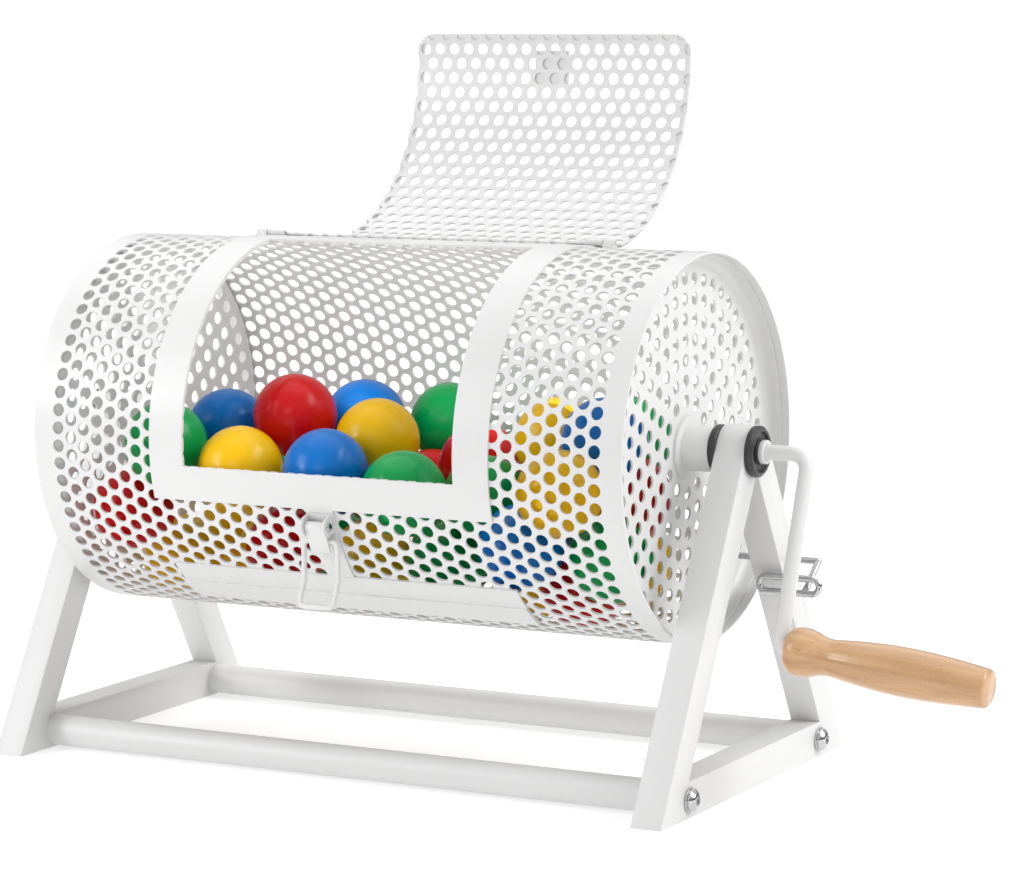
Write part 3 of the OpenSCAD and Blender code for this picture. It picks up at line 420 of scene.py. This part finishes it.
handle_wood = beech_material((0.44, 0.235, 0.10), (0.57, 0.335, 0.16), (0.30, 0.15, 0.07))
print("beech along", [round(c, 3) for c in spindle_way])

# %% [markdown]
# ## Paint the parts that stay
#
# A part that already has the right shape only takes a finish. The record names a material slot for each
# part, and each slot has one finish here. The parts that are replaced further down are painted as well,
# which does no harm and keeps this step simple.

# %% Give every CAD part the finish of its slot
finish_of_slot = {
    "stand_coat": stand_coat,
    "drum_coat": drum_coat,
    "black_plastic": black_plastic,
    "bright_steel": bright_steel,
    "dark_steel": dark_steel,
    "handle_wood": handle_wood,
    "brass": brass,
}
for colour, plastic in ball_plastic.items():
    finish_of_slot["ball_" + colour] = plastic
for part in frame["record"]["subparts"]:
    for material_slot in nodes[part["node"]].material_slots:
        material_slot.material = finish_of_slot[part["material_slot"]]

# %% [markdown]
# ## Helpers for modelling
#
# Each new piece begins as a primitive or as a copy of a CAD part, and is shaped in edit mode. Faces and edges
# are picked by where they are, so a helper turns a rule about places into a selection. A finished piece
# takes its name, its body and its finish in one call.

# %% Select, shape and finish
def deselect_all():
    """Leaves nothing selected."""
    bpy.ops.object.select_all(action="DESELECT")


def hold_only(piece):
    """Makes one object the only one that operators act on."""
    deselect_all()
    piece.select_set(True)
    bpy.context.view_layer.objects.active = piece


def edit(piece, mode="VERT"):
    """Opens a piece for editing with nothing selected."""
    hold_only(piece)
    bpy.ops.object.mode_set(mode="EDIT")
    bpy.ops.mesh.select_mode(type=mode)
    bpy.ops.mesh.select_all(action="DESELECT")


def leave_edit():
    """Goes back to object mode."""
    bpy.ops.object.mode_set(mode="OBJECT")


def pick(piece, kind, rule):
    """Selects the vertices, edges or faces whose places follow a rule, and returns to edit mode."""
    leave_edit()
    mesh = piece.data
    count = 0
    for item in getattr(mesh, kind):
        if kind == "vertices":
            item.select = rule(item.co)
        else:
            corners = [mesh.vertices[i].co for i in item.vertices]
            item.select = rule(corners)
        count += item.select
    bpy.ops.object.mode_set(mode="EDIT")
    return count


def apply_place(piece):
    """Moves a piece's place, turn and scale into its mesh."""
    hold_only(piece)
    bpy.ops.object.transform_apply(location=True, rotation=True, scale=True)


def apply_modifiers(piece):
    """Turns a piece's modifiers into geometry, in their order."""
    hold_only(piece)
    for modifier in list(piece.modifiers):
        bpy.ops.object.modifier_apply(modifier=modifier.name)


close_to = 0.01 * MM


def merge_close(piece, distance=close_to):
    """Joins vertices that lie on each other."""
    edit(piece)
    bpy.ops.mesh.select_all(action="SELECT")
    bpy.ops.mesh.remove_doubles(threshold=distance)
    leave_edit()


def face_outward(piece):
    """Turns all faces outward."""
    edit(piece)
    bpy.ops.mesh.select_all(action="SELECT")
    bpy.ops.mesh.normals_make_consistent(inside=False)
    leave_edit()


def finish_piece(piece, name, body, slot, replaced, smooth=35):
    """Names a piece, smooths it, paints it with its slot's finish and makes it ride on a body."""
    apply_place(piece)
    bpy.ops.object.shade_smooth_by_angle(angle=math.radians(smooth))
    piece.name = name
    piece.data.name = name
    piece.data.materials.clear()
    piece.data.materials.append(finish_of_slot[slot])
    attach(piece, body)
    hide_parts(*replaced)
    print(name, len(piece.data.polygons), "faces")


# %% [markdown]
# ## Perforated sheet
#
# Punched sheet is a grid of round holes in staggered rows. One hole in one small rectangle is enough to
# model: the rectangle's rim has as many corners as the hole, so the two loops bridge into a ring of quads.
# The sides along a row have four steps, so a row that is shifted by half a pitch still meets the next one
# corner to corner.

# %% One punched cell, repeated into a flat sheet
def punched_sheet(pitch, row_step, hole_d, across, rows):
    """Flat sheet whose rows of holes run along X, centred on the first hole, every second row shifted."""
    deselect_all()
    row_steps = 4
    side_steps = 2
    rim_corners = 2 * (row_steps + side_steps)
    inside = 0.49
    bpy.ops.mesh.primitive_grid_add(x_subdivisions=row_steps, y_subdivisions=side_steps, size=1)
    sheet = bpy.context.object
    sheet.scale = (pitch, row_step, 1)
    apply_place(sheet)
    edit(sheet)
    pick(sheet, "vertices", lambda co: abs(co.x) < inside * pitch and abs(co.y) < inside * row_step)
    bpy.ops.mesh.delete(type="VERT")
    bpy.ops.mesh.primitive_circle_add(vertices=rim_corners, radius=hole_d / 2)
    bpy.ops.mesh.select_all(action="SELECT")
    bpy.ops.mesh.bridge_edge_loops()
    leave_edit()
    row = sheet.modifiers.new("row", "ARRAY")
    row.count = across
    row.use_relative_offset = False
    row.use_constant_offset = True
    row.constant_offset_displace = (pitch, 0, 0)
    apply_modifiers(sheet)
    edit(sheet)
    bpy.ops.mesh.select_all(action="SELECT")
    bpy.ops.mesh.duplicate_move(TRANSFORM_OT_translate={"value": (pitch / 2, row_step, 0)})
    leave_edit()
    stack = sheet.modifiers.new("stack", "ARRAY")
    stack.count = (rows + 1) // 2
    stack.use_relative_offset = False
    stack.use_constant_offset = True
    stack.constant_offset_displace = (0, 2 * row_step, 0)
    apply_modifiers(sheet)
    merge_close(sheet)
    return sheet


def cut_away(sheet, place, normal):
    """Cuts a flat sheet along a line and removes the side that the normal points to."""
    edit(sheet)
    bpy.ops.mesh.select_all(action="SELECT")
    bpy.ops.mesh.bisect(plane_co=place, plane_no=normal, clear_outer=True)
    leave_edit()


def bend_round(sheet, radius):
    """Stands a flat sheet up and bends it round an axis along X that lies behind it."""
    sheet.rotation_euler = (math.radians(90), 0, 0)
    apply_place(sheet)
    heights = [v.co.z for v in sheet.data.vertices]
    bend = sheet.modifiers.new("bend", "SIMPLE_DEFORM")
    bend.deform_method = "BEND"
    bend.deform_axis = "X"
    bend.angle = (max(heights) - min(heights)) / radius
    apply_modifiers(sheet)


def roll_up(sheet, radius, thickness):
    """Bends a flat sheet round the drum's axis and thickens it inward."""
    bend_round(sheet, radius)
    sheet.location = (0, -radius, axis_z)
    apply_place(sheet)
    merge_close(sheet)
    wall = sheet.modifiers.new("wall", "SOLIDIFY")
    wall.thickness = thickness
    wall.offset = -1
    apply_modifiers(sheet)


# %% [markdown]
# ## Drum shell
#
# The shell's rows of holes run round the drum: 66 holes to a row, 40 rows from end to end. The sheet is
# punched flat, the door is cut out while it is still flat, and then it is rolled up until its ends meet.

# %% Punch, cut and roll the shell
shell_rows = 40
shell_holes = 66
shell_row_step = 7.3 * MM
shell_hole_d = 6.3 * MM
shell_pitch = 2 * math.pi * drum_r / shell_holes
shell_first_angle = 2.9
door_half_w = 72 * MM
door_from, door_to = 7, 96.5


def along_arc(angle, radius):
    """Length on the flat sheet, from the drum's front, for an angle from straight up toward the front."""
    return math.radians(angle - 90) * radius


shell = punched_sheet(shell_pitch, shell_row_step, shell_hole_d, across=shell_holes, rows=shell_rows)
shell.location = (along_arc(shell_first_angle - 90, drum_r), -(shell_rows - 1) / 2 * shell_row_step, 0)
apply_place(shell)
edit(shell, "EDGE")
side_y = shell_rows / 2 * shell_row_step
for side in (-1, 1):
    edges = pick(shell, "edges", lambda ends: all(abs(co.y - side * side_y) < close_to for co in ends))
    bpy.ops.mesh.extrude_region_move(TRANSFORM_OT_translate={"value": (0, side * (shell_x - side_y), 0)})
    print("plain rim from", edges, "edges")
for place, normal in [
    ((0, -door_half_w, 0), (0, 1, 0)),
    ((0, door_half_w, 0), (0, 1, 0)),
    ((along_arc(door_from, drum_r), 0, 0), (1, 0, 0)),
    ((along_arc(door_to, drum_r), 0, 0), (1, 0, 0)),
]:
    bpy.ops.mesh.select_all(action="SELECT")
    bpy.ops.mesh.bisect(plane_co=place, plane_no=normal)
door_span = (along_arc(door_from, drum_r), along_arc(door_to, drum_r))


def in_door(corners):
    """Tells whether a face's middle lies in the door's opening."""
    middle = sum(corners, Vector()) / len(corners)
    return abs(middle.y) < door_half_w and door_span[0] < middle.x < door_span[1]


removed = pick(shell, "polygons", in_door)
bpy.ops.mesh.delete(type="FACE")
leave_edit()
shell.rotation_euler = (0, 0, math.radians(-90))
apply_place(shell)
roll_up(shell, drum_r, sheet_t)
print("door cut from", removed, "faces")
finish_piece(shell, "perforated_shell", "drum", "drum_coat", ["drum_shell"])

# %% [markdown]
# ## Lid
#
# The lid is a separate piece of much the same sheet, and here the rows of holes run along the drum. It is
# punched flat, trimmed to a rectangle with two rounded corners, and rolled to its own radius, as it lies
# when shut. Then it turns back about its hinge to where it stands in the photograph. A round corner is cut
# with a few straight cuts that touch the arc, since a bisect only cuts along planes.

# %% Where the lid's edges are
hinge_joint = next(j for j in frame["joints"] if j["child"] == "lid")
hinge_at = Vector(hinge_joint["pos_m"])
lid_open_turn = math.radians(-192)
lid_low, lid_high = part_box("lid_panel")
lid_half_w = (lid_high.x - lid_low.x) / 2
lid_corner_r = 9 * MM
lid_outer_r = drum_r + 2.4 * MM
lid_from, lid_to = -8.5, 107
print("lid", round(2 * lid_half_w / MM, 1), "mm wide, hinge at", [round(c / MM, 1) for c in hinge_at])


# %% Punch, trim, roll and open the lid
def trim_outline(sheet, radius, from_angle, to_angle, half_w, corner_r):
    """Trims a flat sheet to a rectangle whose two lower corners are round."""
    corner_step = 15
    low, high = along_arc(180 - to_angle, radius), along_arc(180 - from_angle, radius)
    cut_away(sheet, (0, high, 0), (0, 1, 0))
    cut_away(sheet, (0, low, 0), (0, -1, 0))
    for side in (-1, 1):
        cut_away(sheet, (side * half_w, 0, 0), (side, 0, 0))
        for degrees in range(corner_step, 90, corner_step):
            turn = math.radians(degrees)
            normal = Vector((side * math.cos(turn), -math.sin(turn), 0))
            middle = Vector((side * (half_w - corner_r), low + corner_r, 0))
            cut_away(sheet, middle + corner_r * normal, normal)


def open_lid(piece):
    """Turns a piece of the shut lid back about the hinge."""
    for move, turn in [(-hinge_at, 0), (Vector(), lid_open_turn), (hinge_at, 0)]:
        piece.location = move
        piece.rotation_euler = (turn, 0, 0)
        apply_place(piece)


lid_pitch = 8.34 * MM
lid_row_angle = 4.61
lid_hole_d = 6 * MM
lid_first_row = 107.11
lid_row_step = math.radians(lid_row_angle) * lid_outer_r
lid = punched_sheet(lid_pitch, lid_row_step, lid_hole_d, across=22, rows=27)
lid_first_hole = -10.25 * lid_pitch
lid.location = (lid_first_hole, along_arc(180 - lid_first_row, lid_outer_r), 0)
apply_place(lid)
trim_outline(lid, lid_outer_r, lid_from, lid_to, lid_half_w, lid_corner_r)
roll_up(lid, lid_outer_r, sheet_t)
open_lid(lid)
finish_piece(lid, "perforated_lid", "lid", "drum_coat", ["lid_panel"])

# %% [markdown]
# The lid's edge is folded back on itself, which leaves a narrow double band with a soft outer edge. The band
# starts as a plate of the lid's outline. An inset gives its width, the middle is deleted, and it is cut into
# short lengths, so that it bends smoothly. At the hinge the plate is a little too long, and that end is cut
# off, which leaves the band open there. The bevel comes before the bend, while all edges are straight.

# %% The folded hem
hem_w = 3.2 * MM
hem_from = -2.5
hem_cuts = 60
hem_outer_r = lid_outer_r + sheet_t
deselect_all()
hem_low = along_arc(180 - lid_to, hem_outer_r)
hem_high = along_arc(180 - hem_from, hem_outer_r)
hinge_spare = 12 * MM
bpy.ops.mesh.primitive_plane_add(size=1, location=(0, (hem_low + hem_high + hinge_spare) / 2, 0))
hem = bpy.context.object
hem.scale = (2 * lid_half_w, hem_high + hinge_spare - hem_low, 1)
apply_place(hem)
edit(hem)
pick(hem, "vertices", lambda co: co.y < 0)
bpy.ops.mesh.bevel(offset=lid_corner_r, segments=10, affect="VERTICES")
bpy.ops.mesh.select_all(action="SELECT")
bpy.ops.mesh.select_mode(type="FACE")
bpy.ops.mesh.inset(thickness=hem_w)
bpy.ops.mesh.delete(type="FACE")
leave_edit()
cut_away(hem, (0, hem_high, 0), (0, 1, 0))
edit(hem)
for cut in range(1, hem_cuts):
    bpy.ops.mesh.select_all(action="SELECT")
    cut_y = hem_low + (hem_high - hem_low) * cut / hem_cuts
    bpy.ops.mesh.bisect(plane_co=(0, cut_y, 0), plane_no=(0, 1, 0))
bpy.ops.mesh.select_all(action="SELECT")
bpy.ops.mesh.extrude_region_move(TRANSFORM_OT_translate={"value": (0, 0, sheet_t)})
leave_edit()
face_outward(hem)
soft_edge = hem.modifiers.new("soft_edge", "BEVEL")
soft_edge.width = 0.4 * MM
soft_edge.segments = 3
soft_edge.angle_limit = math.radians(60)
apply_modifiers(hem)
bend_round(hem, hem_outer_r)
hem.location = (0, -lid_outer_r, axis_z)
apply_place(hem)
open_lid(hem)
finish_piece(hem, "folded_hem", "lid", "drum_coat", ["lid_hem"], smooth=50)

# %% [markdown]
# ## Rounded edges on bent and turned metal
#
# Nothing real has a perfectly sharp edge, and it is the small rounding that catches the light. Many CAD parts
# have the right form apart from that. A copy is welded into whole faces first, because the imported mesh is
# loose triangles, and then a Bevel modifier rounds every edge that is sharper than a given angle.

# %% A helper for rounded copies
body_of = {node: body for body, members in frame["record"]["behaviour"]["bodies"].items() for node in members}
slot_of = {part["node"]: part["material_slot"] for part in frame["record"]["subparts"]}


def rounded_copy(node, width, segments, sharp):
    """Copies a CAD part, welds it, rounds its sharp edges and puts it in the part's place."""
    hold_only(nodes[node])
    bpy.ops.object.duplicate()
    piece = bpy.context.object
    bpy.ops.object.parent_clear(type="CLEAR_KEEP_TRANSFORM")
    if piece.data.has_custom_normals:
        bpy.ops.mesh.customdata_custom_splitnormals_clear()
    merge_close(piece, 0.001 * MM)
    edit(piece)
    bpy.ops.mesh.select_all(action="SELECT")
    bpy.ops.mesh.dissolve_limited(angle_limit=math.radians(0.5))
    leave_edit()
    rounding = piece.modifiers.new("rounding", "BEVEL")
    rounding.width = width
    rounding.segments = segments
    rounding.angle_limit = math.radians(sharp)
    apply_modifiers(piece)
    finish_piece(piece, node + "_rounded", body_of[node], slot_of[node], [node])


# %% [markdown]
# The stand is welded from square tube. The mill rolls such tube with round corners, a little over a
# millimetre here. The bearings and the hubs are turned or moulded and have their edges broken by a few
# tenths of a millimetre, and so have the fittings.

# %% Round the stand, the bearings, the hubs and the fittings
for node in ["left_a_frame", "right_a_frame", "left_cross_tube", "right_cross_tube"]:
    rounded_copy(node, 1.1 * MM, segments=4, sharp=35)
for node in ["left_outer_bush", "right_outer_bush", "left_inner_bush", "right_inner_bush"]:
    rounded_copy(node, 0.7 * MM, segments=3, sharp=50)
for node in ["left_hub", "right_hub", "right_stop_collar", "left_stop_collar"]:
    rounded_copy(node, 0.4 * MM, segments=3, sharp=50)
for node in ["washers", "rail_bolts", "hinge_brackets", "lid_leaves"]:
    rounded_copy(node, 0.2 * MM, segments=2, sharp=40)
for node in ["latch_lever", "latch_base", "latch_plate"]:
    rounded_copy(node, 0.2 * MM, segments=2, sharp=40)
for node in ["latch_rivet", "catch_rivets"]:
    rounded_copy(node, 0.5 * MM, segments=4, sharp=50)

# %% [markdown]
# ## Wooden handle
#
# A handle like this is turned on a lathe: a shoulder at the crank, a waist, a swell for the palm and a taper
# to the flat end. A disc is extruded along the axis and scaled to the radius of each station, which is how
# the turner sees it too. It starts inside the bore, so that the crank's rod enters an open hole.

# %% Turn the handle
def turned(stations, sides=64):
    """Extrudes a disc along Z through stations of distance and radius, and returns the closed shape."""
    deselect_all()
    start_z, start_r = stations[0]
    bpy.ops.mesh.primitive_circle_add(
        vertices=sides, radius=start_r, fill_type="NGON", location=(0, 0, start_z))
    piece = bpy.context.object
    apply_place(piece)
    bpy.ops.object.mode_set(mode="EDIT")
    bpy.ops.mesh.select_mode(type="FACE")
    bpy.ops.mesh.select_all(action="SELECT")
    for (z0, r0), (z1, r1) in zip(stations, stations[1:]):
        bpy.ops.mesh.extrude_region_move(TRANSFORM_OT_translate={"value": (0, 0, z1 - z0)})
        bpy.ops.transform.resize(value=(r1 / r0, r1 / r0, 1), center_override=(0, 0, z1))
    leave_edit()
    face_outward(piece)
    return piece


bore_r = 4.55 * MM
bend_r = 4.5 * MM
spindle_bend = math.radians(84.3)
head_gap = 0.6 * MM
grip_start = bend_r * math.tan(spindle_bend / 2) + head_gap
bore_depth = 12 * MM
handle_stations = [(bore_depth, bore_r), (0, bore_r), (0, 7.4 * MM)]
head = [(0.3, 8.4), (1, 9.35), (2, 10.1), (3.4, 10.65), (5.2, 10.95), (7.2, 11), (9, 10.9)]
neck = [(10.8, 10.6), (12.6, 10.1), (14.2, 9.5), (15.8, 8.95), (17.4, 8.55), (19, 8.35), (20.6, 8.3)]
palm = [(22.4, 8.42), (25, 8.75), (29, 9.25), (34, 9.8), (39, 10.25), (44, 10.6), (50, 10.88), (56, 11)]
tail = [(62, 10.98), (68, 10.8), (74, 10.5), (80, 10.1), (86, 9.6), (91, 9.15), (94.2, 8.85)]
flat_end = [(95.2, 8.6), (95.8, 8.2), (96.2, 7.5)]
handle_stations += [(z * MM, r * MM) for z, r in head + neck + palm + tail + flat_end]
handle = turned(handle_stations)
handle.rotation_euler = (spindle_way.to_track_quat("Z", "X")).to_euler()
handle.location = spindle_corner + spindle_way * grip_start
finish_piece(handle, "turned_handle", "grip", "handle_wood", ["wood_handle"], smooth=50)

# %% [markdown]
# ## Balls
#
# The balls are blown in a mould of two halves, so each has a faint raised line round its middle. A bevel
# turns the sphere's middle edge into a narrow band, and its centre line is lifted a little. Every ball is a
# copy of that one, turned its own way, and the turns follow a fixed rule so that each run gives the same
# heap.

# %% One ball with a seam
ball_d = 40 * MM
seam_half_w = 0.35 * MM
seam_lift = 1.006
deselect_all()
bpy.ops.mesh.primitive_uv_sphere_add(segments=48, ring_count=24, radius=ball_d / 2)
ball = bpy.context.object
edit(ball, "EDGE")
pick(ball, "edges", lambda ends: all(abs(co.z) < close_to for co in ends))
bpy.ops.mesh.bevel(offset=seam_half_w, segments=2, affect="EDGES")
pick(ball, "vertices", lambda co: abs(co.z) < close_to)
bpy.ops.transform.resize(value=(seam_lift, seam_lift, 1))
leave_edit()
print("ball with", len(ball.data.polygons), "faces")


# %% Fill the drum
def ball_centres(node):
    """Centres of the balls in a CAD part, found by separating a copy into its loose pieces."""
    hold_only(nodes[node])
    bpy.ops.object.duplicate()
    copy = bpy.context.object
    bpy.ops.object.parent_clear(type="CLEAR_KEEP_TRANSFORM")
    merge_close(copy)
    hold_only(copy)
    bpy.ops.mesh.separate(type="LOOSE")
    pieces = list(bpy.context.selected_objects)
    centres = []
    for piece in pieces:
        places = [v.co for v in piece.data.vertices]
        sides = [[place[axis] for place in places] for axis in range(3)]
        centres.append(Vector([(min(side) + max(side)) / 2 for side in sides]))
    hold_only(pieces[0])
    for piece in pieces:
        piece.select_set(True)
    bpy.ops.object.delete()
    return sorted(centres, key=lambda c: (round(c.x, 4), round(c.y, 4)))


for colour in ball_tones:
    centres = ball_centres("balls_" + colour)
    copies = []
    for index, centre in enumerate(centres):
        hold_only(ball)
        bpy.ops.object.duplicate()
        copy = bpy.context.object
        copy.rotation_euler = (2.4 * index + 0.6, 1.1 * index + len(colour), 0.7 * index)
        copy.location = centre
        apply_place(copy)
        copies.append(copy)
    hold_only(copies[0])
    for copy in copies:
        copy.select_set(True)
    bpy.ops.object.join()
    heap = bpy.context.object
    finish_piece(heap, "seamed_balls_" + colour, "balls", "ball_" + colour, ["balls_" + colour], smooth=40)
    print(len(centres), colour, "balls")
hold_only(ball)
bpy.ops.object.delete()
